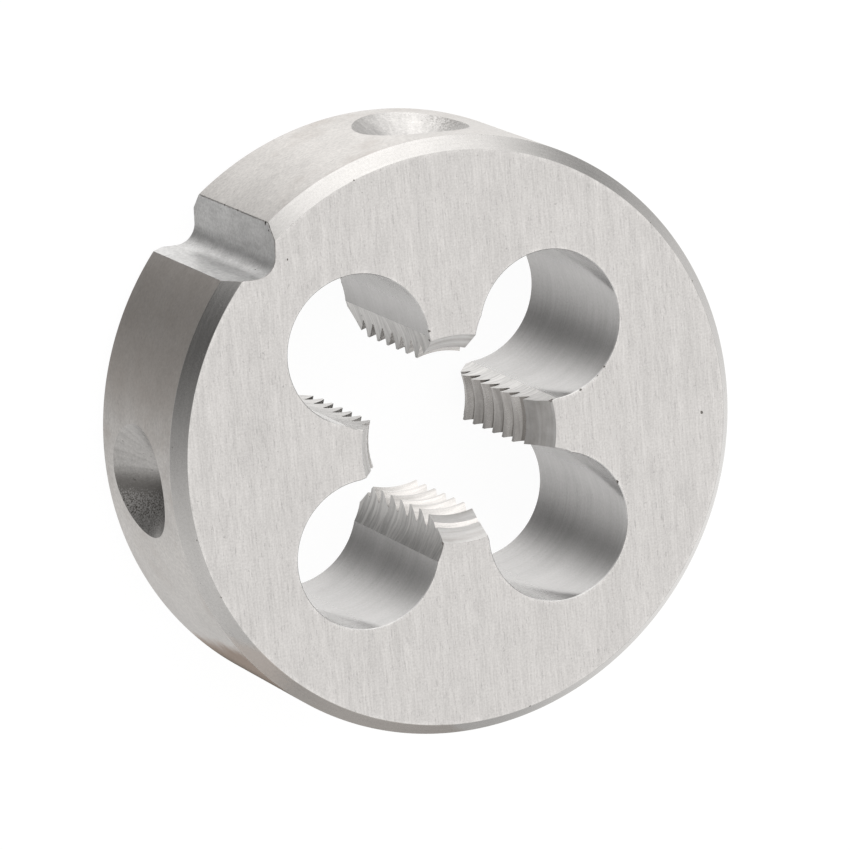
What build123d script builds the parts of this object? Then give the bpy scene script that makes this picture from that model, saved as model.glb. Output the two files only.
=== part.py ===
from build123d import *
import math
import os

# A closed round threading die: one hardened steel disc with a threaded bore that four
# round chip holes cut into four toothed lands. The axis is +Z, the back face lies on
# Z = 0 and the face that meets the work is at the top. Sizes are in millimetres, angles
# in degrees, counted from +X towards +Y.

# Disc
body_diameter = 20.0
body_thickness = 7.0
rim_chamfer_width = 0.41
rim_chamfer_height = 0.53

# Right-hand thread, quarter inch with 32 turns to the inch
thread_diameter = 6.35
thread_pitch = 0.79375
thread_angle = 60.0
tooth_tip_flat = 0.16
tooth_root_flat = 0.08
thread_start_height = 0.327

# Lead cones at both ends of the bore
lead_length = 1.25
lead_mouth_margin = 0.29

# Chip holes, drilled right through, each one breaking into the threaded bore
chip_hole_count = 4
chip_hole_diameter = 5.0
chip_hole_break_in = 0.85
first_chip_hole_angle = 45.0

# Throat of each chip hole, ground right through between two lands
throat_diameter = 4.14
throat_inset = 0.765
trailing_relief = 0.135

# Groove in the rim for the spreading screw of the die holder
groove_angle = 135.0
groove_depth = 1.0
groove_opening_angle = 90.0
groove_bottom_radius = 0.68

# Dimples in the rim for the clamping screws of the die holder, the pair of them drilled
# a little past the groove
dimple_spread = 48.0
dimple_lag = 1.5
dimple_diameter = 4.4
dimple_point_angle = 118.0

# Angle from the groove to the seam where the turned surfaces start and end
seam_after_groove = 34.5

# How far a cutting solid stands clear of the disc
overrun = 1.0

# Worked out from the sizes above
body_radius = body_diameter / 2
mid_height = body_thickness / 2
half_flank_slope = math.tan(math.radians(thread_angle / 2))
sharp_height = thread_pitch / (2 * half_flank_slope)
pitch_radius = thread_diameter / 2 - 3 / 8 * sharp_height
tip_radius = pitch_radius - (thread_pitch / 2 - tooth_tip_flat) / (2 * half_flank_slope)
root_radius = pitch_radius + (thread_pitch / 2 - tooth_root_flat) / (2 * half_flank_slope)
mouth_radius = root_radius + lead_mouth_margin
chip_circle_radius = thread_diameter / 2 - chip_hole_break_in + chip_hole_diameter / 2
throat_circle_radius = chip_circle_radius - throat_inset


def turned_blank():
    """The disc as it leaves the lathe: chamfered rim, plain bore and two lead cones."""
    half_section = Polyline(
        (tip_radius, lead_length),
        (mouth_radius, 0),
        (body_radius - rim_chamfer_width, 0),
        (body_radius, rim_chamfer_height),
        (body_radius, body_thickness - rim_chamfer_height),
        (body_radius - rim_chamfer_width, body_thickness),
        (mouth_radius, body_thickness),
        (tip_radius, body_thickness - lead_length),
        close=True,
    )
    blank = revolve(Plane.XZ * make_face(half_section), Axis.Z)
    return Rot(0, 0, groove_angle + seam_after_groove) * blank


def chip_openings():
    """The chip holes with their ground throats, from below the disc to above it."""
    outline = Pos(chip_circle_radius, 0) * Circle(chip_hole_diameter / 2)
    outline += Pos(throat_circle_radius, 0) * Circle(throat_diameter / 2)
    outline += Pos(throat_circle_radius, trailing_relief) * Circle(throat_diameter / 2)
    column = Pos(0, 0, -overrun) * extrude(outline, body_thickness + 2 * overrun)
    turn = 360 / chip_hole_count
    return [Rot(0, 0, first_chip_hole_angle + turn * i) * column for i in range(chip_hole_count)]


def thread_grooves():
    """The helical groove between the teeth, one turn at a time.

    The turns meet end to end in the first chip hole, where there is no steel, and they
    run out through both lead cones.
    """
    inner_radius = tip_radius - tooth_tip_flat / (4 * half_flank_slope)
    inner_half = (thread_pitch - tooth_tip_flat / 2) / 2
    root_half = tooth_root_flat / 2
    section = Polyline(
        (inner_radius, -inner_half),
        (root_radius, -root_half),
        (root_radius, root_half),
        (inner_radius, inner_half),
        close=True,
    )
    path = Helix(thread_pitch, thread_pitch, pitch_radius)
    turn = sweep(Plane.XZ * make_face(section), path, is_frenet=True)
    turn = Pos(0, 0, thread_start_height) * Rot(0, 0, first_chip_hole_angle) * turn
    turns_above = math.ceil(body_thickness / thread_pitch) + 1
    return [Pos(0, 0, thread_pitch * i) * turn for i in range(-2, turns_above)]


def screw_groove():
    """The rounded V groove across the rim, as deep at its bottom as groove_depth."""
    half_angle = math.radians(groove_opening_angle / 2)
    bottom = body_radius - groove_depth
    point = bottom - groove_bottom_radius * (1 / math.sin(half_angle) - 1)
    mouth = body_radius + overrun
    half_mouth = (mouth - point) * math.tan(half_angle)
    outline = make_face(Polyline((point, 0), (mouth, -half_mouth), (mouth, half_mouth), close=True))
    outline = fillet(outline.vertices().sort_by(Axis.X)[0], groove_bottom_radius)
    bar = Pos(0, 0, -overrun) * extrude(outline, body_thickness + 2 * overrun)
    return Rot(0, 0, groove_angle) * bar


def screw_dimple(angle):
    """A dimple in the rim at mid height, the bare cone of a drill's point."""
    slope = math.tan(math.radians(dimple_point_angle / 2))
    radius = dimple_diameter / 2
    half_section = Polyline(
        (0, body_radius - radius / slope),
        (radius + overrun * slope, body_radius + overrun),
        (0, body_radius + overrun),
        close=True,
    )
    drill = revolve(Plane.XZ * make_face(half_section), Axis.Z)
    return Pos(0, 0, mid_height) * Rot(0, 0, angle) * Rot(0, 90, 0) * drill


def die_body():
    """The finished die, cut from the blank in the order of the work on the real one."""
    middle = groove_angle + dimple_lag
    dimples = [screw_dimple(middle + side * dimple_spread) for side in (-1, 1)]
    body = turned_blank().cut(screw_groove(), *dimples)
    body = body.cut(*chip_openings())
    return body.cut(*thread_grooves())


os.makedirs("parts", exist_ok=True)
export_step(die_body(), "parts/die_body.step")
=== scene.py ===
"""Looks of a round threading die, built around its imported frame.

All shapes are worked out in millimetres and brought to metres as the last step. The
disc lies on its back face on Z = 0, with its axis on +Z.
"""

import logging
import math
import random
from dataclasses import dataclass
from enum import Enum
from typing import Any, Sequence

import bmesh
import bpy
from mathutils import Matrix, Vector


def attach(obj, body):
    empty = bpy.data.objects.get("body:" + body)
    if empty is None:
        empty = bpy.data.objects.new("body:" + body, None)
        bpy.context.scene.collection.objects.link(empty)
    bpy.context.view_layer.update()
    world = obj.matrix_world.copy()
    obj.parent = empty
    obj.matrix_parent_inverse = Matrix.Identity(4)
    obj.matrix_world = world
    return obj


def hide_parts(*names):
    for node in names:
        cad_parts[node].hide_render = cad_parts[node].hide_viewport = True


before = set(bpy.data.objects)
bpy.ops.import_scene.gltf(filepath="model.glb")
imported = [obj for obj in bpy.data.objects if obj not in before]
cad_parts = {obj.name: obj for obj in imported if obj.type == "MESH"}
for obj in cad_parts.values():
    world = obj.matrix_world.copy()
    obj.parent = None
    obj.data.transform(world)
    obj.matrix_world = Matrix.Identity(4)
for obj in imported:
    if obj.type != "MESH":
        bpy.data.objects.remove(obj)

BODY = "root"
NODE = "die_body"

# One millimetre in metres. The next three are in millimetres: points that are closer than
# MERGE become one, a place within NEAR of a surface lies on it, and a cutter stands PAST
# clear of the disc.
MM = 0.001
MERGE = 1e-5
NEAR = 0.001
PAST = 1.0

log = logging.getLogger("round_die")


class Surface(Enum):
    """The kinds of machined surface on the die, in the order of its material slots."""

    FACE = "ground_face"
    RIM = "turned_rim"
    CHAMFER = "turned_chamfer"
    HOLE = "drilled_hole"
    THROAT = "ground_throat"
    THREAD = "cut_thread"
    LEAD = "turned_lead"
    GROOVE = "milled_groove"
    DIMPLE = "drilled_dimple"
    LIP = "broken_lip"
    NICK = "small_nick"

    @property
    def index(self) -> int:
        """Number of the material slot that holds this surface's finish."""
        return list(Surface).index(self)


@dataclass(frozen=True)
class Signal:
    """An output of a shader node, open to ordinary arithmetic."""

    tree: bpy.types.NodeTree
    socket: bpy.types.NodeSocket

    def join(self, operation: str, *parts: Any) -> "Signal":
        """Put the parts through one Math node, or one Vector Math node for a vector.

        Args:
            operation: The node's operation.
            parts: Its inputs in order, each a signal, a number or a vector.

        Returns:
            The result.
        """
        kind = "ShaderNodeVectorMath" if self.socket.type == "VECTOR" else "ShaderNodeMath"
        return Graph(self.tree).node(kind, {"operation": operation}, dict(enumerate(parts)))

    def __add__(self, other: Any) -> "Signal":
        """Add a signal or a number."""
        return self.join("ADD", self, other)

    def __radd__(self, other: Any) -> "Signal":
        """Add to a number."""
        return self.join("ADD", other, self)

    def __sub__(self, other: Any) -> "Signal":
        """Take away a signal or a number."""
        return self.join("SUBTRACT", self, other)

    def __rsub__(self, other: Any) -> "Signal":
        """Take away from a number."""
        return self.join("SUBTRACT", other, self)

    def __mul__(self, other: Any) -> "Signal":
        """Multiply by a signal or a number."""
        return self.join("MULTIPLY", self, other)

    def __rmul__(self, other: Any) -> "Signal":
        """Multiply a number."""
        return self.join("MULTIPLY", other, self)

    def __abs__(self) -> "Signal":
        """Drop the sign."""
        return self.join("ABSOLUTE", self)

    def above(self, other: Any) -> "Signal":
        """Keep the greater of two."""
        return self.join("MAXIMUM", self, other)

    def below(self, other: Any) -> "Signal":
        """Keep the lesser of two."""
        return self.join("MINIMUM", self, other)


class Graph:
    """The nodes of one material or world."""

    def __init__(self, tree: bpy.types.NodeTree) -> None:
        """Work on a node tree."""
        self.tree = tree

    @classmethod
    def fresh(cls, owner: Any) -> "Graph":
        """Empty the nodes of a material or world and work on them.

        Args:
            owner: The material or world.

        Returns:
            Its empty graph.
        """
        owner.use_nodes = True
        owner.node_tree.nodes.clear()
        return cls(owner.node_tree)

    def node(
        self, kind: str, settings: dict | None = None, values: dict | None = None,
        out: int | str = 0,
    ) -> Signal:
        """Add a node.

        Args:
            kind: The node's type.
            settings: Its own settings, set before its sockets.
            values: Numbers, vectors or signals for its inputs, by name or number.
            out: Which output to hand back.

        Returns:
            That output.
        """
        node = self.tree.nodes.new(kind)
        for key, value in (settings or {}).items():
            setattr(node, key, value)
        for key, value in (values or {}).items():
            port = node.inputs[key]
            if isinstance(value, Signal):
                self.tree.links.new(value.socket, port)
            elif hasattr(port.default_value, "__len__") and not hasattr(value, "__len__"):
                port.default_value = [value] * len(port.default_value)
            else:
                port.default_value = value
        return Signal(self.tree, node.outputs[out])

    def close(self, shader: Signal, kind: str = "ShaderNodeOutputMaterial") -> None:
        """Lead the finished shader to the output of the material or world."""
        node = self.tree.nodes.new(kind)
        self.tree.links.new(shader.socket, node.inputs["Surface"])

    def dot(self, first: Signal, second: Any) -> Signal:
        """Give the dot product of two vectors."""
        settings = {"operation": "DOT_PRODUCT"}
        return self.node("ShaderNodeVectorMath", settings, {0: first, 1: second}, out="Value")

    def length(self, vector: Signal) -> Signal:
        """Give a vector's length."""
        settings = {"operation": "LENGTH"}
        return self.node("ShaderNodeVectorMath", settings, {0: vector}, out="Value")

    def millimetres(self) -> Signal:
        """Give the place on the piece in millimetres."""
        return self.node("ShaderNodeTexCoord", out="Object") * (1 / MM)

    def split(self, vector: Signal) -> tuple[Signal, Signal, Signal]:
        """Give a vector's three numbers.

        Args:
            vector: The vector.

        Returns:
            Its x, y and z.
        """
        first = self.node("ShaderNodeSeparateXYZ", values={0: vector})
        ports = first.socket.node.outputs
        return tuple(Signal(self.tree, port) for port in ports)

    def vector(self, x: Any, y: Any, z: Any) -> Signal:
        """Make a vector of three numbers."""
        return self.node("ShaderNodeCombineXYZ", values={0: x, 1: y, 2: z})

    def towards(self, x: Signal, y: Signal, azimuth: float) -> Signal:
        """Give how far a place lies out in a level direction."""
        turn = math.radians(azimuth)
        return x * math.cos(turn) + y * math.sin(turn)

    def noise(
        self, at: Signal, scale: Any = 1.0, shift: float = 0.0, detail: float = 2.0,
        roughness: float = 0.5,
    ) -> Signal:
        """Give smooth noise from -0.5 to 0.5.

        Args:
            at: The place.
            scale: How many swells there are to a unit of it, as a number or one for each axis.
            shift: How far the noise is moved, so that it differs from other noise.
            detail: How many finer layers it has.
            roughness: How strong the finer layers are.

        Returns:
            The noise.
        """
        place = at if scale == 1.0 else at * scale
        place = place + shift if shift else place
        values = {"Vector": place, "Scale": 1.0, "Detail": detail, "Roughness": roughness}
        return self.node("ShaderNodeTexNoise", {"noise_dimensions": "3D"}, values) - 0.5

    def ease(self, value: Signal, low: float, high: float) -> Signal:
        """Turn a value into a soft step, 0 at low and 1 at high.

        Args:
            value: The value.
            low: Where the step starts.
            high: Where it is full, which may be the lower number.

        Returns:
            The step, from 0 to 1.
        """
        if low > high:
            return 1 - self.ease(value, high, low)
        values = {"Value": value, "From Min": low, "From Max": high}
        return self.node("ShaderNodeMapRange", {"interpolation_type": "SMOOTHSTEP"}, values)

    def blend(self, share: Any, first: Any, second: Any) -> Signal:
        """Mix two colours.

        Args:
            share: How much of the second one there is.
            first: A colour or a signal.
            second: A colour or a signal.

        Returns:
            The mixed colour.
        """
        values = {0: share, 6: rgba(first), 7: rgba(second)}
        return self.node("ShaderNodeMix", {"data_type": "RGBA"}, values, out=2)


def material_of(surface: Surface) -> bpy.types.Material:
    """Give a surface's material, a new one where it isn't there yet."""
    name = surface.value
    return bpy.data.materials.get(name) or bpy.data.materials.new(name)


def about_z(angle: float) -> Matrix:
    """Give the turn about Z by an angle in degrees."""
    return Matrix.Rotation(math.radians(angle), 3, "Z")


def rgba(colour: Any) -> Any:
    """Add the alpha to a plain colour and let a signal pass."""
    return colour if isinstance(colour, Signal) else (*colour[:3], 1.0)


def shaded(colour: Sequence[float], by: float) -> tuple[float, ...]:
    """Lighten or darken a colour by a factor."""
    return tuple(min(1.0, channel * by) for channel in colour)


@dataclass(frozen=True)
class DieSizes:
    """The die's own sizes, in millimetres and degrees."""

    diameter: float = 20.0
    thickness: float = 7.0
    chamfer_width: float = 0.41
    chamfer_height: float = 0.53
    thread_diameter: float = 6.35
    pitch: float = 0.79375
    thread_angle: float = 60.0
    tip_flat: float = 0.16
    root_flat: float = 0.08
    thread_start: float = 0.327
    lead_length: float = 1.25
    lead_margin: float = 0.29
    lead_crown: float = 7.0
    hole_count: int = 4
    hole_diameter: float = 5.0
    hole_break_in: float = 0.85
    hole_angle: float = 45.0
    throat_diameter: float = 4.14
    throat_inset: float = 0.765
    trailing_relief: float = 0.135
    groove_angle: float = 135.0
    groove_depth: float = 1.0
    groove_radius: float = 0.68
    dimple_spread: float = 48.0
    dimple_lag: float = 1.5
    dimple_diameter: float = 4.4
    dimple_point: float = 118.0
    edge_break: float = 0.025

    @property
    def radius(self) -> float:
        """Radius of the rim."""
        return self.diameter / 2

    @property
    def groove_centre(self) -> float:
        """Distance from the axis to the middle of the groove's rounded bottom."""
        return self.radius - self.groove_depth + self.groove_radius

    @property
    def face_radius(self) -> float:
        """Radius of the flat faces inside the chamfers."""
        return self.radius - self.chamfer_width

    @property
    def middle(self) -> float:
        """Height of the disc's middle, which is half its thickness."""
        return self.thickness / 2

    @property
    def flank(self) -> float:
        """Slope of a thread flank, sideways over radially."""
        return math.tan(math.radians(self.thread_angle / 2))

    @property
    def pitch_radius(self) -> float:
        """Radius at which tooth and groove are as wide as each other."""
        return self.thread_diameter / 2 - 3 / 8 * self.pitch / (2 * self.flank)

    @property
    def tip_radius(self) -> float:
        """Radius of the tooth tips."""
        return self.pitch_radius - (self.pitch / 2 - self.tip_flat) / (2 * self.flank)

    @property
    def root_radius(self) -> float:
        """Radius of the roots between the teeth."""
        return self.pitch_radius + (self.pitch / 2 - self.root_flat) / (2 * self.flank)

    @property
    def mouth_radius(self) -> float:
        """Radius of a lead cone where it meets a face."""
        return self.root_radius + self.lead_margin

    @property
    def lead_lean(self) -> float:
        """Angle by which the lead cone's own normal rises above the level, in degrees."""
        return math.degrees(math.atan2(self.mouth_radius - self.tip_radius, self.lead_length))

    def lead_arc(self, steps: int = 6) -> list[tuple[float, float]]:
        """Give the crowned lead's outline from the tooth tips to the face.

        Args:
            steps: How many straight runs it has.

        Returns:
            Its corners as radius and depth below the face.
        """
        chord = math.hypot(self.mouth_radius - self.tip_radius, self.lead_length)
        swing = math.radians(self.lead_crown)
        bend = chord / (2 * math.sin(swing))
        lean = math.radians(self.lead_lean)
        across, up = math.cos(lean), math.sin(lean)
        points = []
        for i in range(steps + 1):
            angle = swing * (2 * i / steps - 1)
            run = chord / 2 + bend * math.sin(angle)
            rise = bend * (math.cos(angle) - math.cos(swing))
            out = self.tip_radius + run * up - rise * across
            points.append((out, self.lead_length - run * across - rise * up))
        return points

    @property
    def groove_point(self) -> float:
        """Radius at which the groove's two walls would meet."""
        return self.radius - self.groove_depth - self.groove_radius * (math.sqrt(2) - 1)

    def dimple_angle(self, side: int) -> float:
        """Angle of the dimple on one side of the groove, +1 or -1."""
        return self.groove_angle + self.dimple_lag + side * self.dimple_spread

    @property
    def hole_circle(self) -> float:
        """Radius of the circle through the chip holes' centres."""
        return self.thread_diameter / 2 - self.hole_break_in + self.hole_diameter / 2

    @property
    def throat_circle(self) -> float:
        """Radius of the circle through the throats' centres."""
        return self.hole_circle - self.throat_inset

    def hole_turn(self, number: int) -> Matrix:
        """Give the turn that brings a shape from +X to one of the chip holes."""
        return about_z(self.hole_angle + 360 / self.hole_count * number)

    def aside(self, circle: float) -> float:
        """Give how far from X and Y an axis stands that is on a circle and at a chip hole."""
        return circle * math.cos(math.radians(self.hole_angle))


SIZES = DieSizes()


@dataclass(frozen=True)
class Finish:
    """How one kind of machined steel surface looks.

    The tool's marks are noise that is drawn out along the way the tool went: marks
    gives how many of them there are to the millimetre along x, y and z. The clouding, the
    pits and the rubbed places have one number of that kind each. Pairs of numbers give
    where something starts and where it is full, in worn_edge as distances from an edge.
    """

    surface: Surface
    tint: tuple[float, float, float]
    roughness: float
    marks: tuple[float, float, float]
    contrast: float = 0.25
    swing: float = 0.10
    depth: float = 0.0012
    cloud: float = 0.2
    pits: float = 0.0
    grit: float = 0.3
    grain: float = 14.0
    metal: float = 1.0
    spread: float = 0.25
    stain: float = 0.0
    # The colour that the stains blend to, which on some finishes also carries painted shade.
    stain_and_shade_tint: tuple[float, float, float] = (0.42, 0.37, 0.33)
    wear: float = 0.25
    worn_edge: tuple[float, float] = (0.16, 0.02)
    clouds: float = 0.55
    pitted: float = 5.5
    pit_edge: tuple[float, float] = (0.20, 0.28)
    rubs: float = 2.3
    rub_edge: tuple[float, float] = (-0.10, 0.14)
    film_edge: tuple[float, float] = (-0.02, 0.22)
    sheen: tuple[float, float] = (0.08, 0.8)

    def tool_marks(self, g: Graph, at: Signal) -> Signal:
        """Give the height of the tool's marks, from about -0.5 to 0.5.

        Args:
            g: The graph of the material.
            at: The place on the piece, in millimetres.

        Returns:
            Fine marks with broad ones under them.
        """
        fine = g.noise(at, self.marks, detail=3.0, roughness=0.6)
        broad = g.noise(at, [0.27 * n for n in self.marks], 17.0)
        return fine + broad * 0.6

    def stains_and_painted_shade(self, g: Graph, at: Signal) -> Signal:
        """Give how far the brown film of handling covers each place, from 0 to 1."""
        patchy = g.noise(at, 0.4, 71.0, detail=4.0, roughness=0.6)
        return g.ease(patchy, *self.film_edge) * self.stain

    def edge(self, g: Graph, at: Signal) -> Signal:
        """Give how near the surface's own edges a place is, from 0 to 1.

        Args:
            g: The graph of the material.
            at: The place on the piece, in millimetres.

        Returns:
            The nearness to the edges at both faces.
        """
        start, full = self.worn_edge
        height = abs(g.split(at)[2] - SIZES.middle)
        return g.ease(height, SIZES.middle - start, SIZES.middle - full)

    def layered(self, g: Graph, at: Signal, steel: Signal) -> Signal:
        """Give the steel with what lies on it, which is nothing on most surfaces."""
        return steel

    def dress(self) -> bpy.types.Material:
        """Build the material.

        Returns:
            The material.
        """
        material = material_of(self.surface)
        g = Graph.fresh(material)
        at = g.millimetres()
        marks = self.tool_marks(g, at)
        cloud = g.noise(at, self.clouds, detail=3.0, roughness=0.55)
        grit = g.noise(at, self.grain, roughness=0.7)
        pits = g.noise(at, self.pitted, 40.0, roughness=0.6)
        pits = g.ease(pits, *self.pit_edge) * self.pits * 4
        near = self.edge(g, at)
        rubbed = g.ease(g.noise(at, self.rubs, 5.0, detail=3.0, roughness=0.6), *self.rub_edge)
        worn = near * rubbed * self.wear
        tone = 0.5 + marks * (2 * self.contrast) + cloud * (2 * self.cloud) + grit * self.grit
        tone = (tone + worn - pits).above(0.0).below(1.0)
        dark, light = (shaded(self.tint, 1 + way * self.spread) for way in (-1, 1))
        steel = g.blend(tone, dark, light)
        # The stains blend into the colour here; on the rim, the lands and the dimples they carry
        # painted shade too.
        colour = g.blend(self.stains_and_painted_shade(g, at), steel, self.stain_and_shade_tint)
        rough = self.roughness + marks * self.swing + grit * (0.5 * self.swing)
        rough = rough + pits * 0.2 - worn * 0.15
        least, most = self.sheen
        height = marks + grit * 0.4 - pits * 2.0
        bump = g.node("ShaderNodeBump", values={
            "Strength": 1.0, "Distance": self.depth * MM, "Height": height,
        })
        shader = g.node("ShaderNodeBsdfPrincipled", values={
            "Base Color": colour, "Metallic": self.metal,
            "Roughness": rough.above(least).below(most), "Normal": bump,
        })
        g.close(self.layered(g, at, shader))
        return material


@dataclass(frozen=True)
class GroundFace(Finish):
    """A flat face, ground in straight fine lines."""

    lean: float = 2.5
    dash: tuple[float, float] = (1.3, 2.2)
    dash_edge: tuple[float, float] = (0.12, 0.24)
    outer_wear: float = 0.2

    def tool_marks(self, g: Graph, at: Signal) -> Signal:
        """Give fine straight lines, some of them short and deeper.

        Args:
            g: The graph of the material.
            at: The place on the piece, in millimetres.

        Returns:
            The height of the marks.
        """
        across, along = (size * mark for size, mark in zip(self.dash, self.marks))
        lined = g.node("ShaderNodeMapping", {"vector_type": "POINT"}, {
            "Vector": at, "Rotation": (0, 0, math.radians(-self.lean)),
        })
        fine = g.noise(lined, self.marks, detail=3.0, roughness=0.65)
        broad = g.noise(lined, [0.22 * n for n in self.marks], 17.0)
        dashes = g.noise(lined, (across, along, 1.0), 33.0, detail=1.0)
        dashes = g.ease(dashes, *self.dash_edge)
        return fine + broad * 0.5 - dashes * 0.35

    def edge(self, g: Graph, at: Signal) -> Signal:
        """Give how near the outer edge or a hole's edge a place is.

        Args:
            g: The graph of the material.
            at: The place on the piece, in millimetres.

        Returns:
            The nearness, from 0 to 1.
        """
        start, full = self.worn_edge
        x, y, _ = g.split(at)
        rim = SIZES.face_radius
        outer = g.ease(g.length(g.vector(x, y, 0)), rim - self.outer_wear, rim)
        side = SIZES.aside(SIZES.hole_circle)
        hole = g.length(g.vector(abs(x) - side, abs(y) - side, 0))
        reach = SIZES.hole_diameter / 2
        return outer.above(g.ease(hole, reach + start, reach + full))


@dataclass(frozen=True)
class Rings(Finish):
    """A surface turned on the lathe.

    A dull tempered patch lies low on one side, and painted shade darkens the side by the left
    dimple.
    """

    patch: float = 0.9
    patch_angle: float = -118.0
    patch_edge: float = 9.62
    patch_soft: tuple[float, float] = (0.16, 0.14)
    patch_tint: tuple[float, float, float] = (0.66, 0.54, 0.46)
    patch_dark: tuple[float, float, float] = (0.30, 0.25, 0.21)
    patch_rise: float = 0.075
    patch_dull: float = 0.7
    darker: tuple[float, float] = (-7.2, -5.9)
    # The next three paint shade into the rim's colour by the left dimple: its strength, its heading
    # and where it starts.
    film_and_painted_shade: float = 0.5
    painted_shade_angle: float = 154.0
    painted_shade_start: tuple[float, float] = (9.2, 9.85)
    chamfer_wear: tuple[float, float] = (0.14, 0.02)
    face_wear: float = 0.12

    def stains_and_painted_shade(self, g: Graph, at: Signal) -> Signal:
        """Give painted shade between the groove and the left dimple, over the brown film of
        handling.

        Args:
            g: The graph of the material.
            at: The place on the piece, in millimetres.

        Returns:
            How far the painted shade and the film cover each place.
        """
        x, y, _ = g.split(at)
        # Painted shade: the rim's colour is darkened on the side between the groove and the left
        # dimple.
        towards = g.towards(x, y, self.painted_shade_angle) + g.noise(at, 0.8, 61.0) * 0.3
        film_and_painted_shade = g.ease(towards, *self.painted_shade_start)
        film_and_painted_shade = film_and_painted_shade * (g.noise(at, 1.6, 7.0, detail=3.0, roughness=0.6) * 0.6 + 1.0) * self.film_and_painted_shade
        return film_and_painted_shade.above(super().stains_and_painted_shade(g, at))

    def layered(self, g: Graph, at: Signal, steel: Signal) -> Signal:
        """Lay the tempered patch's dull film over the steel, darker towards its low end.

        Args:
            g: The graph of the material.
            at: The place on the piece, in millimetres.
            steel: The shader of the bare steel.

        Returns:
            The shader of both.
        """
        x, y, z = g.split(at)
        before, after = self.patch_soft
        swell = g.noise(at, 0.9, 3.0, detail=3.0, roughness=0.6) * 0.35
        speck = g.noise(at, 7.0, 51.0, roughness=0.6)
        towards = g.towards(x, y, self.patch_angle) + z * self.patch_rise + swell + speck * 0.12
        share = g.ease(towards, self.patch_edge - before, self.patch_edge + after) * self.patch
        tint = g.blend(g.ease(x + speck * 0.8, *self.darker), self.patch_tint, self.patch_dark)
        film_and_painted_shade = g.node("ShaderNodeBsdfPrincipled", values={
            "Base Color": tint, "Roughness": self.patch_dull, "Specular IOR Level": 0.0,
        })
        return g.node("ShaderNodeMixShader", values={0: share, 1: steel, 2: film_and_painted_shade})

    def edge(self, g: Graph, at: Signal) -> Signal:
        """Give how near the chamfers' edges a place is.

        Args:
            g: The graph of the material.
            at: The place on the piece, in millimetres.

        Returns:
            The nearness, from 0 to 1.
        """
        height = abs(g.split(at)[2] - SIZES.middle)
        corner = SIZES.middle - SIZES.chamfer_height
        outer = g.ease(abs(height - corner), *self.chamfer_wear)
        return outer.above(g.ease(height, SIZES.middle - self.face_wear, SIZES.middle))


@dataclass(frozen=True)
class Dimple(Finish):
    """A drilled dimple, with painted shade in the lower half of the left one and at the ends of the
    other.

    The pairs of numbers give where, along X or Y, something starts and where it is full.
    """

    # The dark tint and the strengths below give painted shade in the dimples.
    stain_and_shade_tint: tuple[float, float, float] = (0.13, 0.122, 0.113)
    dimple_shade: float = 0.8
    film_and_painted_shade: float = 0.26
    ends: float = 0.35
    rings: float = 9.0
    chatter: float = 11.0
    depth_reach: tuple[float, float] = (7.0, 7.5)
    band: tuple[float, float] = (-0.15, -1.25)
    specked: tuple[float, float] = (-1.3, -1.75)
    lighter_bottom: tuple[float, float] = (-1.9, -2.8)
    on_left: tuple[float, float] = (-6.5, -7.5)
    on_top: tuple[float, float] = (6.5, 7.5)
    left_end: tuple[float, float] = (-0.5, -1.3)
    right_end: tuple[float, float] = (1.4, 2.1)

    def tool_marks(self, g: Graph, at: Signal) -> Signal:
        """Give the drill's rings round the dimple's own axis, and its chatter across them.

        Args:
            g: The graph of the material.
            at: The place on the piece, in millimetres.

        Returns:
            The height of the marks.
        """
        both = None
        for side in (-1, 1):
            azimuth = SIZES.dimple_angle(side)
            turn = math.radians(azimuth)
            x, y, z = g.split(at)
            across = y * math.cos(turn) - x * math.sin(turn)
            flat = g.vector(across, z - SIZES.middle, 0)
            near = g.ease(g.towards(x, y, azimuth), *self.depth_reach)
            ringed = g.vector(g.length(flat) * self.rings, side * 5.0, 0) + at * 0.8
            ring = g.noise(ringed, roughness=0.6)
            jumps = flat.join("NORMALIZE", flat) * self.chatter + at * 1.2
            jumps = g.noise(jumps, detail=1.0)
            mark = (ring * 0.4 + jumps * 0.8) * near
            both = mark if both is None else both + mark
        return both + g.noise(at, self.marks, roughness=0.6) * 0.4

    def stains_and_painted_shade(self, g: Graph, at: Signal) -> Signal:
        """Give the painted shade: a dark band with specks under it, and the specked ends.

        Args:
            g: The graph of the material.
            at: The place on the piece, in millimetres.

        Returns:
            How far the painted shade covers each place, from 0 to 1.
        """
        x, y, _ = g.split(at)
        speck = g.noise(at, 19.0, 9.0, detail=1.0, roughness=0.6)
        # Painted shade: the left dimple darkens towards its bottom, lighter again at its low end,
        # and is darkened a little all over; the top dimple's two ends are darkened too.
        band = g.ease(y + speck * 0.3, *self.band) * self.dimple_shade
        loose = g.ease(y + speck * 0.8, *self.specked)
        broken = (band - 0.30 + speck * 3.5).above(0.0) * (1 - g.ease(y, *self.lighter_bottom) * 0.4)
        low = (band + (broken - band) * loose).above(self.film_and_painted_shade) * g.ease(x, *self.on_left)
        ends = g.ease(x + speck * 1.2, *self.left_end)
        ends = ends.above(g.ease(x + speck * 2.0, *self.right_end)) * g.ease(y, *self.on_top)
        return low.above(ends * (self.ends + speck * 1.3)).above(0.0).below(1.0)


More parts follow.
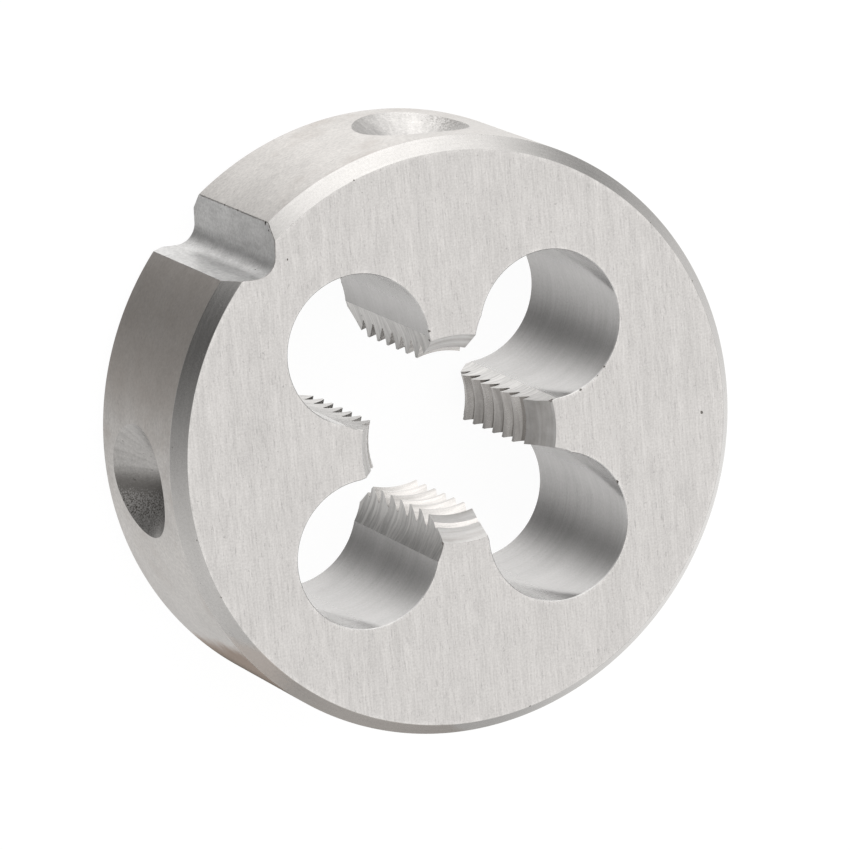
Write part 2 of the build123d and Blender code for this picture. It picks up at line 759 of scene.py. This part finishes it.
@dataclass(frozen=True)
class Land(Finish):
    """A cut or turned surface of a land.

    Painted shade lies between the teeth, and a brown film, partly painted shade, on the land along
    X.
    """

    # The dark tint below is the colour of the painted shade between the teeth and on the land along
    # X.
    stain_and_shade_tint: tuple[float, float, float] = (0.120, 0.105, 0.090)
    film_and_painted_shade: float = 0.32
    root_shading: float = 0.75
    root_line: tuple[float, float] = (0.16, 0.22)
    unshaded_ends: tuple[float, float] = (0.9, 1.5)
    along_x: tuple[float, float] = (1.2, 2.2)

    def stains_and_painted_shade(self, g: Graph, at: Signal) -> Signal:
        """Give the painted shade between the teeth and the film, partly painted shade, on the land
        along X.

        Args:
            g: The graph of the material.
            at: The place on the piece, in millimetres.

        Returns:
            How far the painted shade and the film cover each place.
        """
        x, y, z = g.split(at)
        reach = g.length(g.vector(x, y, 0))
        patchy = g.noise(at, 1.7, 29.0, detail=3.0, roughness=0.6)
        # Painted shade: the deep part of each thread root is darkened, fading near the faces, most
        # on the land along X.
        line = [SIZES.tip_radius + step for step in self.root_line]
        root = g.ease(reach + patchy * 0.04, *line) * self.root_shading
        ends = [SIZES.middle - depth for depth in self.unshaded_ends]
        inside = g.ease(abs(z - SIZES.middle), *ends)
        # The land along X is brown and, as painted shade, also darker than the other lands.
        there = g.ease(x + y * 0.25, *self.along_x)
        film_and_shade_on_land = there * (patchy * 0.4 + self.film_and_painted_shade)
        return film_and_shade_on_land.above(root * inside * (there * 0.85 + 0.15)).above(0.0)


@dataclass(frozen=True)
class Ground(Finish):
    """A throat, ground with a small pin that left bowed scratches."""

    bow: float = 0.10
    coarse_edge: tuple[float, float] = (0.02, 0.2)

    def tool_marks(self, g: Graph, at: Signal) -> Signal:
        """Give scratches round the throat that rise towards its ends.

        Args:
            g: The graph of the material.
            at: The place on the piece, in millimetres.

        Returns:
            The height of the marks.
        """
        x, y, z = g.split(at)
        side = SIZES.aside(SIZES.throat_circle)
        out = (abs(x) - side) - (abs(y) - side)
        height = z + out * out * self.bow + g.noise(at, 0.8, detail=1.0) * 0.5
        bowed = g.vector(x, y, height)
        fine = g.noise(bowed, self.marks, detail=3.0, roughness=0.65)
        coarse = g.noise(bowed, [0.45 * n for n in self.marks], 23.0, roughness=0.6)
        return fine + g.ease(coarse, *self.coarse_edge) * 0.5


FINISHES = (
    GroundFace(
        Surface.FACE, (0.648, 0.636, 0.626), 0.30, (15.0, 1.1, 15.0), contrast=0.50, depth=0.0014,
        pits=0.12, cloud=0.10, grit=1.0,
    ),
    Rings(
        Surface.RIM, (0.655, 0.638, 0.620), 0.32, (3.0, 3.0, 8.0), contrast=0.22, cloud=0.25,
        pits=0.15, grit=1.3, grain=9.0, stain=0.45, wear=0.0,
    ),
    Rings(
        Surface.CHAMFER, (0.600, 0.592, 0.582), 0.22, (0.8, 0.8, 14.0), contrast=0.14, cloud=0.15,
        pits=0.2, grit=0.6, wear=0.1, patch=0.35, patch_edge=9.35, film_and_painted_shade=0.0,
    ),
    Finish(
        Surface.HOLE, (0.660, 0.657, 0.654), 0.15, (0.5, 0.5, 7.0), contrast=0.25, cloud=0.22,
        pits=0.10, grit=0.7, metal=0.62,
    ),
    Ground(
        Surface.THROAT, (0.610, 0.605, 0.597), 0.34, (0.9, 0.9, 9.0), contrast=1.1, cloud=0.2,
        depth=0.004, pits=0.2, grit=0.6,
    ),
    Land(
        Surface.THREAD, (0.680, 0.665, 0.650), 0.26, (0.5, 0.5, 9.0), contrast=1.0, cloud=0.2,
        grit=0.5, film_and_painted_shade=0.36,
    ),
    Land(
        Surface.LEAD, (0.900, 0.880, 0.855), 0.46, (0.3, 0.3, 6.5), contrast=1.0, cloud=0.1,
        depth=0.010, grit=0.5, metal=0.5, spread=0.28, film_and_painted_shade=0.42, root_shading=0.0,
    ),
    Finish(
        Surface.GROOVE, (0.618, 0.620, 0.620), 0.42, (5.0, 5.0, 1.6), contrast=0.5, cloud=0.4,
        pits=0.3, grit=1.4, grain=10.0, wear=0.0,
    ),
    Dimple(
        Surface.DIMPLE, (0.580, 0.572, 0.563), 0.32, (6.0, 6.0, 6.0), contrast=0.5, cloud=0.2,
        pits=0.3, depth=0.005, grit=1.3, wear=0.0,
    ),
    Finish(
        Surface.LIP, (0.420, 0.410, 0.400), 0.40, (4.0, 4.0, 4.0), contrast=0.6, cloud=0.2,
        wear=0.0,
    ),
    Finish(
        Surface.NICK, (0.300, 0.285, 0.270), 0.45, (6.0, 6.0, 6.0), contrast=0.4, cloud=0.2,
        wear=0.0,
    ),
)


def to_mesh(bm: bmesh.types.BMesh, name: str, surface: Surface) -> bpy.types.Object:
    """Turn a closed bmesh into an object whose faces all carry one surface's slot.

    Args:
        bm: The shape, which is freed.
        name: Name of the new object.
        surface: The surface that the shape leaves on what it cuts.

    Returns:
        The new object, linked to the scene.
    """
    bmesh.ops.recalc_face_normals(bm, faces=bm.faces)
    for face in bm.faces:
        face.material_index = surface.index
    mesh = bpy.data.meshes.new(name)
    bm.to_mesh(mesh)
    bm.free()
    for kind in Surface:
        mesh.materials.append(material_of(kind))
    thing = bpy.data.objects.new(name, mesh)
    bpy.context.scene.collection.objects.link(thing)
    return thing


def outline(
    bm: bmesh.types.BMesh, points: Sequence[tuple[float, float]], close: bool = False,
) -> list[bmesh.types.BMVert | bmesh.types.BMEdge]:
    """Draw a run of edges in the XZ plane.

    Args:
        bm: The mesh that receives the edges.
        points: The corners as radius and height.
        close: Whether the last corner joins the first one.

    Returns:
        The new vertices and edges.
    """
    verts = [bm.verts.new((x, 0, z)) for x, z in points]
    pairs = list(zip(verts, verts[1:] + verts[:1] if close else verts[1:]))
    edges = [bm.edges.new(pair) for pair in pairs]
    return verts + edges


def vertices(geom: Sequence[Any]) -> list[bmesh.types.BMVert]:
    """Pick the vertices out of a mixed run of geometry."""
    return [v for v in geom if isinstance(v, bmesh.types.BMVert)]


def spun(bm: bmesh.types.BMesh, geom: Sequence[Any], steps: int) -> None:
    """Spin an outline right round the Z axis and join what meets.

    Args:
        bm: The mesh that holds the outline.
        geom: The outline's vertices and edges.
        steps: How many flats the round has.
    """
    bmesh.ops.spin(
        bm, geom=geom, cent=(0, 0, 0), axis=(0, 0, 1), angle=math.tau, steps=steps, use_merge=True,
    )
    bmesh.ops.remove_doubles(bm, verts=bm.verts, dist=MERGE)


def drill(points: Sequence[tuple[float, float]], steps: int) -> bmesh.types.BMesh:
    """Turn an outline that starts and ends on the Z axis into a solid cutter.

    Args:
        points: The outline as radius and height.
        steps: How many flats the round has.

    Returns:
        The cutter's shape.
    """
    bm = bmesh.new()
    spun(bm, outline(bm, points), steps)
    return bm


@dataclass
class Blank:
    """The disc as it leaves the lathe, with rounded rim edges."""

    sizes: DieSizes
    steps: int = 288
    edge_round: float = 0.012
    flat: float = 0.999
    upright: float = 0.05

    def build(self) -> bpy.types.Object:
        """Turn the blank.

        Returns:
            The blank, its faces sorted by how the lathe made them.
        """
        s = self.sizes
        bm = bmesh.new()
        lead = s.lead_arc()
        corners = lead + [
            (s.face_radius, 0),
            (s.radius, s.chamfer_height),
            (s.radius, s.thickness - s.chamfer_height),
            (s.face_radius, s.thickness),
        ] + [(r, s.thickness - depth) for r, depth in reversed(lead)]
        verts = vertices(outline(bm, corners, close=True))
        rim = [v for v in verts if v.co.x > s.face_radius - NEAR]
        bmesh.ops.bevel(
            bm, geom=rim, affect="VERTICES", offset=self.edge_round, segments=3, profile=0.5,
            material=-1,
        )
        spun(bm, list(bm.verts) + list(bm.edges), self.steps)
        thing = to_mesh(bm, "blank", Surface.FACE)
        for face in thing.data.polygons:
            face.material_index = self.surface_of(face).index
        return thing

    def surface_of(self, face: bpy.types.MeshPolygon) -> Surface:
        """Tell what kind of turned surface a face of the blank belongs to.

        Args:
            face: The face, in millimetres.

        Returns:
            The surface, by the way the face looks and by its distance from the axis.
        """
        s = self.sizes
        reach = face.center.to_2d().length
        rise = abs(face.normal.z)
        if rise > self.flat:
            return Surface.FACE
        if reach < s.tip_radius + NEAR:
            return Surface.THREAD
        if reach < s.mouth_radius + NEAR:
            return Surface.LEAD
        if rise < self.upright:
            return Surface.RIM
        return Surface.CHAMFER


@dataclass
class ChipHoles:
    """The drills and grinding pins that open the four chip holes."""

    sizes: DieSizes
    steps: int = 128

    def column(
        self, radius: float, centre: Vector, name: str, surface: Surface,
    ) -> bpy.types.Object:
        """Make one spool that cuts a round hole and breaks its edges at both faces.

        Args:
            radius: Radius of the hole.
            centre: Where its axis stands.
            name: Name of the cutter.
            surface: The surface it leaves.

        Returns:
            The cutter.
        """
        top, broken = self.sizes.thickness, self.sizes.edge_break
        wide = radius + broken + PAST
        bm = drill([
            (0, -PAST), (wide, -PAST), (radius, broken),
            (radius, top - broken), (wide, top + PAST), (0, top + PAST),
        ], self.steps)
        bmesh.ops.translate(bm, verts=bm.verts, vec=centre)
        return to_mesh(bm, name, surface)

    def build(self) -> list[bpy.types.Object]:
        """Make the cutters of all the chip holes.

        Returns:
            For each hole its drill and the two places of its grinding pin.
        """
        s = self.sizes
        pin = s.throat_diameter / 2
        made = []
        for number in range(s.hole_count):
            spin = s.hole_turn(number)
            for label, radius, out, side, kind in (
                ("hole", s.hole_diameter / 2, s.hole_circle, 0, Surface.HOLE),
                ("throat", pin, s.throat_circle, 0, Surface.THROAT),
                ("relief", pin, s.throat_circle, s.trailing_relief, Surface.THROAT),
            ):
                centre = spin @ Vector((out, side, 0))
                made.append(self.column(radius, centre, f"{label}_{number}", kind))
        return made


@dataclass
class ThreadTap:
    """A screw-shaped core that cuts the thread's grooves into the bore."""

    sizes: DieSizes
    steps: int = 160
    run_out: float = 0.07
    run_length: float = 0.6
    past: float = 0.4
    merge: float = 1e-4

    def build(self) -> bpy.types.Object:
        """Turn the core's outline along the helix and close it below and above the disc.

        Returns:
            The cutter.
        """
        s = self.sizes
        inner = s.tip_radius - s.tip_flat / (4 * s.flank)
        inner_half = (s.pitch - s.tip_flat / 2) / 2
        root_half = s.root_flat / 2
        start = s.thread_start - s.pitch * s.hole_angle / 360
        points = []
        for k in range(-3, math.ceil(s.thickness / s.pitch) + 2):
            z = start + s.pitch * k
            points += [
                (inner, z - inner_half), (s.root_radius, z - root_half),
                (s.root_radius, z + root_half), (inner, z + inner_half),
            ]
        bm = bmesh.new()
        geom = outline(bm, points)
        bmesh.ops.spin(
            bm, geom=geom, cent=(0, 0, 0), axis=(0, 0, 1), dvec=(0, 0, s.pitch / self.steps),
            angle=math.tau, steps=self.steps,
        )
        bmesh.ops.remove_doubles(bm, verts=bm.verts, dist=self.merge)
        for vert in bm.verts:
            inside = s.lead_length - min(vert.co.z, s.thickness - vert.co.z)
            drawn = self.run_out * min(1.0, max(0.0, inside / self.run_length))
            vert.co.xy *= 1 - drawn / vert.co.xy.length
        for height, side in ((-self.past, -1), (s.thickness + self.past, 1)):
            bmesh.ops.bisect_plane(
                bm, geom=list(bm.verts) + list(bm.edges) + list(bm.faces), dist=1e-6,
                plane_co=(0, 0, height), plane_no=(0, 0, side), clear_outer=True,
            )
        rims = [e for e in bm.edges if e.is_boundary]
        bmesh.ops.holes_fill(bm, edges=rims, sides=0)
        return to_mesh(bm, "thread_tap", Surface.THREAD)


@dataclass
class RimCuts:
    """The groove and the dimples in the rim for the holder's screws."""

    sizes: DieSizes
    bottom_steps: int = 16
    dimple_steps: int = 96

    def groove(self) -> bpy.types.Object:
        """Make the bar that cuts the rounded V groove.

        Returns:
            The cutter.
        """
        s = self.sizes
        point = s.groove_point
        mouth = s.radius + PAST
        half = mouth - point
        bm = bmesh.new()
        corners = (point, 0, -PAST), (mouth, -half, -PAST), (mouth, half, -PAST)
        verts = [bm.verts.new(corner) for corner in corners]
        bm.faces.new(verts)
        bmesh.ops.bevel(
            bm, geom=[verts[0]], affect="VERTICES", offset=s.groove_radius,
            segments=self.bottom_steps, profile=0.5, material=-1,
        )
        top = vertices(bmesh.ops.extrude_face_region(bm, geom=list(bm.faces))["geom"])
        bmesh.ops.translate(bm, verts=top, vec=(0, 0, s.thickness + 2 * PAST))
        bmesh.ops.rotate(bm, verts=bm.verts, cent=(0, 0, 0), matrix=about_z(s.groove_angle))
        return to_mesh(bm, "groove_bar", Surface.GROOVE)

    def dimple(self, side: int) -> bpy.types.Object:
        """Make the drill of one dimple.

        Args:
            side: +1 or -1, on which side of the groove it stands.

        Returns:
            The cutter.
        """
        s = self.sizes
        slope = math.tan(math.radians(s.dimple_point / 2))
        radius, mouth = s.dimple_diameter / 2, s.radius + PAST
        points = [(0, s.radius - radius / slope), (radius + slope * PAST, mouth), (0, mouth)]
        bm = drill(points, self.dimple_steps)
        tip = Matrix.Rotation(math.radians(90), 3, "Y")
        turn = about_z(s.dimple_angle(side)) @ tip
        bmesh.ops.rotate(bm, verts=bm.verts, cent=(0, 0, 0), matrix=turn)
        bmesh.ops.translate(bm, verts=bm.verts, vec=(0, 0, s.middle))
        return to_mesh(bm, f"dimple_{'left' if side > 0 else 'right'}", Surface.DIMPLE)


@dataclass(frozen=True)
class Knock:
    """One small dent from handling: where it is, and how wide."""

    x: float
    y: float
    z: float
    size: float


@dataclass
class Knocks:
    """The dents that the die has picked up along its edges."""

    places: tuple[Knock, ...] = (
        Knock(7.20, 6.36, 7.00, 0.035), Knock(8.66, 4.23, 6.98, 0.045),
        Knock(5.60, -2.20, 6.98, 0.05), Knock(8.78, -0.25, 7.01, 0.04),
        Knock(5.29, 1.75, 7.00, 0.04), Knock(5.05, 1.48, 7.00, 0.03),
        Knock(4.41, 1.09, 7.00, 0.035), Knock(3.34, 0.90, 6.93, 0.08),
        Knock(-0.80, -3.42, 6.95, 0.06), Knock(-1.07, 4.34, 0.03, 0.09),
        Knock(-0.92, 3.72, 6.99, 0.05), Knock(-0.86, 3.40, 6.90, 0.05),
        Knock(-6.13, 7.86, 2.77, 0.045), Knock(-6.13, 7.86, 3.90, 0.035),
        Knock(-6.14, 7.82, 6.28, 0.05), Knock(-6.14, 7.62, 6.55, 0.05),
        Knock(-6.47, 6.27, 5.97, 0.03), Knock(-5.75, 6.69, 7.01, 0.03),
        Knock(-8.67, -4.13, 7.00, 0.03), Knock(-9.40, -2.14, 6.98, 0.035),
        Knock(2.10, -9.38, 7.00, 0.035), Knock(-3.30, 9.01, 7.00, 0.03),
    )
    seed: int = 11
    dents: tuple[float, float] = (0.8, 1.25)
    stretches: tuple[tuple[float, float], ...] = ((0.7, 1.5), (0.7, 1.5), (0.7, 1.2))

    def build(self) -> list[bpy.types.Object]:
        """Make a small uneven pebble at each place.

        Returns:
            The cutters.
        """
        chance = random.Random(self.seed)
        made = []
        for i, knock in enumerate(self.places):
            bm = bmesh.new()
            bmesh.ops.create_icosphere(bm, subdivisions=2, radius=knock.size)
            for vert in bm.verts:
                vert.co *= chance.uniform(*self.dents)
            stretch = [chance.uniform(*limits) for limits in self.stretches]
            bmesh.ops.scale(bm, verts=bm.verts, vec=stretch)
            bmesh.ops.translate(bm, verts=bm.verts, vec=(knock.x, knock.y, knock.z))
            made.append(to_mesh(bm, f"knock_{i}", Surface.NICK))
        return made


@dataclass
class Lips:
    """An uneven string along the groove's sharp lips, cut away to break them."""

    sizes: DieSizes
    upper: float = 0.028
    face: float = 0.020
    lower: float = 0.012
    step: float = 0.10
    unevenness: float = 0.35
    sides: int = 7
    below: float = 0.2
    seed: int = 5

    def corners(self) -> list[tuple[Vector, float]]:
        """Follow one lip up the rim, round the groove in the face and down the other lip.

        Returns:
            The corners of the way, each with the string's radius there.
        """
        s = self.sizes
        top = s.thickness
        ends = []
        for radius, height in (
            (s.radius, -self.below), (s.radius, top - s.chamfer_height), (s.face_radius, top),
        ):
            half = (math.sqrt(2 * radius ** 2 - s.groove_point ** 2) - s.groove_point) / 2
            ends.append((s.groove_point + half, half, height))
        first = [(Vector((x, -y, z)), self.upper) for x, y, z in ends]
        last = [(Vector((x, y, z)), self.lower) for x, y, z in reversed(ends)]
        floor = []
        for angle in range(-45, 46, 15):
            turn = math.radians(angle)
            out = s.groove_centre - s.groove_radius * math.cos(turn)
            floor.append((Vector((out, s.groove_radius * math.sin(turn), top)), self.face))
        return first + floor + last

    def build(self) -> bpy.types.Object:
        """Sweep an uneven ring along the lips.

        Returns:
            The cutter.
        """
        chance = random.Random(self.seed)
        spin = about_z(self.sizes.groove_angle)
        out = spin @ Vector((1, 0, 0))
        way = [(spin @ place, radius) for place, radius in self.corners()]
        places = []
        for (start, thin), (end, thick) in zip(way, way[1:]):
            parts = max(1, round((end - start).length / self.step))
            for i in range(parts):
                radius = thin + (thick - thin) * i / parts
                places.append((start.lerp(end, i / parts), radius, end - start))
        bm = bmesh.new()
        rings = []
        for place, radius, ahead in places:
            side = ahead.cross(out).normalized()
            ring = []
            for i in range(self.sides):
                angle = math.tau * i / self.sides
                reach = radius * chance.uniform(1 - self.unevenness, 1 + self.unevenness)
                corner = (out * math.cos(angle) + side * math.sin(angle)) * reach
                ring.append(bm.verts.new(place + corner))
            rings.append(ring)
        for ring, after in zip(rings, rings[1:]):
            for i in range(self.sides):
                bm.faces.new((ring[i], ring[i - 1], after[i - 1], after[i]))
        bm.faces.new(rings[0])
        bm.faces.new(list(reversed(rings[-1])))
        return to_mesh(bm, "lip_string", Surface.LIP)


@dataclass
class Shading:
    """True surface normals for the cut mesh, so that round walls shade as round."""

    sizes: DieSizes
    flank_rise: float = 0.3
    groove_miss: float = 0.004
    on_axis: float = 1e-4

    def axis_of(self, kind: Surface, at: Vector) -> tuple[Vector, Vector] | None:
        """Find the axis that a face's surface turns about.

        Args:
            kind: The surface that the face belongs to.
            at: The face's centre, in millimetres.

        Returns:
            A point on the axis and its direction, or None for a flat face.
        """
        s = self.sizes
        up = Vector((0, 0, 1))
        if kind in (Surface.FACE, Surface.LIP, Surface.NICK):
            return None
        if kind in (Surface.HOLE, Surface.THROAT):
            return self.nearest_column(kind, at), up
        if kind is Surface.GROOVE:
            centre = about_z(s.groove_angle) @ Vector((s.groove_centre, 0, 0))
            flat = at.to_2d() - centre.to_2d()
            return (centre, up) if flat.length < s.groove_radius + self.groove_miss else None
        if kind is Surface.DIMPLE:
            lean = math.degrees(math.atan2(at.y, at.x)) % 360
            side = 1 if lean > s.groove_angle else -1
            return Vector((0, 0, s.middle)), about_z(s.dimple_angle(side)) @ Vector((1, 0, 0))
        return Vector((0, 0, 0)), up

    def nearest_column(self, kind: Surface, at: Vector) -> Vector:
        """Find the axis of the drill or grinding pin that left a wall at this place.

        Args:
            kind: The surface of the wall.
            at: The place, in millimetres.

        Returns:
            A point on the axis.
        """
        s = self.sizes
        if kind is Surface.HOLE:
            places = [(s.hole_circle, 0, s.hole_diameter / 2)]
        else:
            sides = (0, s.trailing_relief)
            places = [(s.throat_circle, side, s.throat_diameter / 2) for side in sides]
        best, least = Vector((0, 0, 0)), math.inf
        for number in range(s.hole_count):
            spin = s.hole_turn(number)
            for out, side, radius in places:
                centre = spin @ Vector((out, side, 0))
                miss = abs((at.to_2d() - centre.to_2d()).length - radius)
                if miss < least:
                    best, least = centre, miss
        return best

    def flank_normal(self, at: Vector, upward: bool) -> Vector:
        """Give the normal of a thread flank.

        Args:
            at: A point on the flank, in millimetres.
            upward: Whether the flank faces up.

        Returns:
            The unit normal, out of the steel.
        """
        s = self.sizes
        r = at.to_2d().length
        steep = (1 if upward else -1) / s.flank
        out = Vector((at.x / r, at.y / r, 0))
        along = Vector((-out.y, out.x, 0))
        climb = steep * s.pitch / (2 * math.pi * r)
        return (-out + Vector((0, 0, steep)) - along * climb).normalized()

    def apply(self, mesh: bpy.types.Mesh) -> None:
        """Write the normals into the mesh.

        Args:
            mesh: The cut mesh, in metres.
        """
        kinds = list(Surface)
        mesh.shade_smooth()
        normals = [Vector((0, 0, 1))] * len(mesh.loops)
        for face in mesh.polygons:
            kind, flat = kinds[face.material_index], face.normal
            places = [mesh.vertices[i].co / MM for i in face.vertices]
            corners = dict(zip(face.loop_indices, places))
            if kind is Surface.THREAD and abs(flat.z) > self.flank_rise:
                for i, at in corners.items():
                    normals[i] = self.flank_normal(at, flat.z > 0)
                continue
            centre = face.center / MM
            axis = self.axis_of(kind, centre)
            if axis is None:
                for i in corners:
                    normals[i] = flat.copy()
                continue
            point, along = axis
            out, side = self.frame_at(centre, point, along)
            parts = flat.dot(out), flat.dot(side), flat.dot(along)
            if kind is not Surface.THREAD:
                parts = parts[0], 0, parts[2]
            for i, at in corners.items():
                out, side = self.frame_at(at, point, along, out)
                lean = self.lean_at(kind, at)
                if lean is not None:
                    parts = -math.cos(lean), 0, math.copysign(math.sin(lean), parts[2])
                normal = out * parts[0] + side * parts[1] + along * parts[2]
                normals[i] = normal.normalized()
        mesh.normals_split_custom_set([tuple(n) for n in normals])

    def lean_at(self, kind: Surface, at: Vector) -> float | None:
        """Give how far the normal of the crowned lead rises above the level.

        Args:
            kind: The surface.
            at: A point on it, in millimetres.

        Returns:
            The rise in radians, or None where the surface is another one.
        """
        s = self.sizes
        if kind is not Surface.LEAD:
            return None
        depth = min(at.z, s.thickness - at.z)
        return math.radians(s.lead_lean + s.lead_crown * (1 - 2 * depth / s.lead_length))

    def frame_at(
        self, at: Vector, point: Vector, along: Vector, fallback: Vector | None = None,
    ) -> tuple[Vector, Vector]:
        """Give the directions away from an axis and round it.

        Args:
            at: Where they are wanted.
            point: A point on the axis.
            along: The axis's direction.
            fallback: The direction away from it for a place that lies on the axis.

        Returns:
            The two directions.
        """
        out = at - point
        out = out - along * out.dot(along)
        out = out.normalized() if out.length > self.on_axis or fallback is None else fallback
        return out, along.cross(out)


@dataclass
class Die:
    """The finished die: the blank with every cut taken out of it."""

    sizes: DieSizes

    def build(self) -> bpy.types.Object:
        """Cut the blank and bring it to metres.

        Returns:
            The finished die.
        """
        s = self.sizes
        blank = Blank(s).build()
        cuts = RimCuts(s)
        cutters = [cuts.groove(), cuts.dimple(-1), cuts.dimple(1), *ChipHoles(s).build()]
        cutters += [ThreadTap(s).build(), *Knocks().build(), Lips(s).build()]
        box = bpy.data.collections.new("cutters")
        for cutter in cutters:
            box.objects.link(cutter)
        cut = blank.modifiers.new("cut", "BOOLEAN")
        cut.operation = "DIFFERENCE"
        cut.operand_type = "COLLECTION"
        cut.collection = box
        cut.solver = "MANIFOLD"
        cut.material_mode = "TRANSFER"
        depsgraph = bpy.context.evaluated_depsgraph_get()
        mesh = bpy.data.meshes.new_from_object(blank.evaluated_get(depsgraph))
        mesh.name = "finished_die"
        for tool in (blank, *cutters):
            old = tool.data
            bpy.data.objects.remove(tool)
            bpy.data.meshes.remove(old)
        bpy.data.collections.remove(box)
        mesh.transform(Matrix.Scale(MM, 4))
        Shading(s).apply(mesh)
        die = bpy.data.objects.new("finished_die", mesh)
        bpy.context.scene.collection.objects.link(die)
        return die


@dataclass(frozen=True)
class Glow:
    """A soft patch of light in the room, or of dark where its strength is below zero."""

    azimuth: float
    height: float
    focus: float
    strength: float

    def shine(self, g: Graph, way: Signal) -> Signal:
        """Give the light that comes from the patch.

        Args:
            g: The graph that the light is worked out in.
            way: The direction.

        Returns:
            The light, fullest in the middle of the patch.
        """
        turn, lift = math.radians(self.azimuth), math.radians(self.height)
        middle = (math.cos(lift) * math.cos(turn), math.cos(lift) * math.sin(turn), math.sin(lift))
        near = (g.dot(way, middle) - 1) * self.focus
        return near.join("EXPONENT", near) * self.strength


@dataclass
class Studio:
    """Camera, floor and soft light."""

    place: tuple[float, float, float] = (-93.0472, 52.7744, 222.7728)
    right: tuple[float, float, float] = (0.915189, -0.045253, 0.400476)
    up: tuple[float, float, float] = (0.127573, 0.975109, -0.181352)
    view_deg: float = 6.61016
    sensor: float = 36.0
    clip: tuple[float, float] = (0.01, 5.0)
    level: float = 0.344
    tone: tuple[float, float, float] = (1.0, 0.985, 0.97)
    glows: tuple[Glow, ...] = (
        Glow(97, -15, 1.5, 1.45),
        Glow(68, 58, 16.0, 0.77),
        Glow(-22, 60, 16.0, 0.42),
        Glow(-35, -40, 16.0, 0.32),
        Glow(161, 21, 6.3, -0.70),
        Glow(-65, -29, 10.0, -0.58),
        Glow(-107, -12, 11.9, -0.52),
        Glow(35, -19, 16.0, -0.65),
        Glow(138, -65, 16.0, -0.44),
        Glow(-88, -6, 1.5, 0.72),
        Glow(140, -33, 6.2, -1.07),
        Glow(-145, -69, 16.0, -0.18),
        Glow(137, -1, 16.0, -0.52),
        Glow(-75, -65, 60.0, -0.22),
        Glow(168, -65, 40.0, -0.08),
    )
    floor_radius: float = 0.6
    floor_glow: float = 0.95
    floor_tone: float = 0.09

    def camera(self) -> None:
        """Set the camera where it looks down on the die as in the photograph."""
        data = bpy.data.cameras.new("camera")
        data.sensor_fit = "HORIZONTAL"
        data.sensor_width = self.sensor
        data.lens = self.sensor / 2 / math.tan(math.radians(self.view_deg / 2))
        data.clip_start, data.clip_end = self.clip
        cam = bpy.data.objects.new("camera", data)
        right, up = Vector(self.right), Vector(self.up)
        back = right.cross(up)
        turn = Matrix((right, up, back)).transposed().to_4x4()
        cam.matrix_world = Matrix.Translation(Vector(self.place) * MM) @ turn
        bpy.context.scene.collection.objects.link(cam)
        bpy.context.scene.camera = cam

    def floor(self) -> None:
        """Lay a plain white floor that keeps the die's soft shadow."""
        bm = bmesh.new()
        bmesh.ops.create_circle(bm, cap_ends=True, segments=64, radius=self.floor_radius)
        mesh = bpy.data.meshes.new("floor")
        bm.to_mesh(mesh)
        bm.free()
        mesh.materials.append(self.floor_paint())
        floor = bpy.data.objects.new("floor", mesh)
        bpy.context.scene.collection.objects.link(floor)

    def floor_paint(self) -> bpy.types.Material:
        """Make the floor white for the camera and open to the room for reflections.

        Returns:
            The floor's material.
        """
        paint = bpy.data.materials.new("floor_white")
        g = Graph.fresh(paint)
        rays = "ShaderNodeLightPath"
        soft = g.node("ShaderNodeBsdfDiffuse", values={"Color": rgba([self.floor_tone] * 3)})
        strength = g.node(rays, out="Is Camera Ray") * self.floor_glow
        white = g.node("ShaderNodeEmission", values={"Strength": strength})
        both = g.node("ShaderNodeAddShader", values={0: soft, 1: white})
        glossy, through = g.node(rays, out="Is Glossy Ray"), g.node(rays, out="Is Transmission Ray")
        mirrored = glossy.above(through).above(g.node(rays, out="Is Shadow Ray"))
        room = g.node("ShaderNodeBsdfTransparent")
        g.close(g.node("ShaderNodeMixShader", values={0: mirrored, 1: both, 2: room}))
        return paint

    def light(self) -> None:
        """Surround the set with a pale room of soft light and shade."""
        world = bpy.data.worlds.new("room")
        bpy.context.scene.world = world
        g = Graph.fresh(world)
        way = g.node("ShaderNodeTexCoord", out="Generated")
        level = self.glows[0].shine(g, way) + self.level
        for glow in self.glows[1:]:
            level = level + glow.shine(g, way)
        level = level.above(0.0)
        back = "ShaderNodeBackground"
        room = g.node(back, values={"Color": rgba(self.tone), "Strength": level})
        white = g.node(back, values={"Color": rgba([1.0] * 3), "Strength": 1.0})
        seen = g.node("ShaderNodeLightPath", out="Is Camera Ray")
        shown = g.node("ShaderNodeMixShader", values={0: seen, 1: room, 2: white})
        g.close(shown, "ShaderNodeOutputWorld")


def main() -> None:
    """Build the die and its set."""
    logging.basicConfig(level=logging.INFO, format="%(name)s: %(message)s")
    bpy.context.scene.view_settings.view_transform = "Standard"
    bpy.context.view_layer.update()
    studio = Studio()
    studio.camera()
    studio.floor()
    studio.light()
    for finish in FINISHES:
        finish.dress()
    die = Die(SIZES).build()
    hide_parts(NODE)
    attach(die, BODY)
    log.info("%s: %d faces", die.name, len(die.data.polygons))


if __name__ == "__main__":
    main()
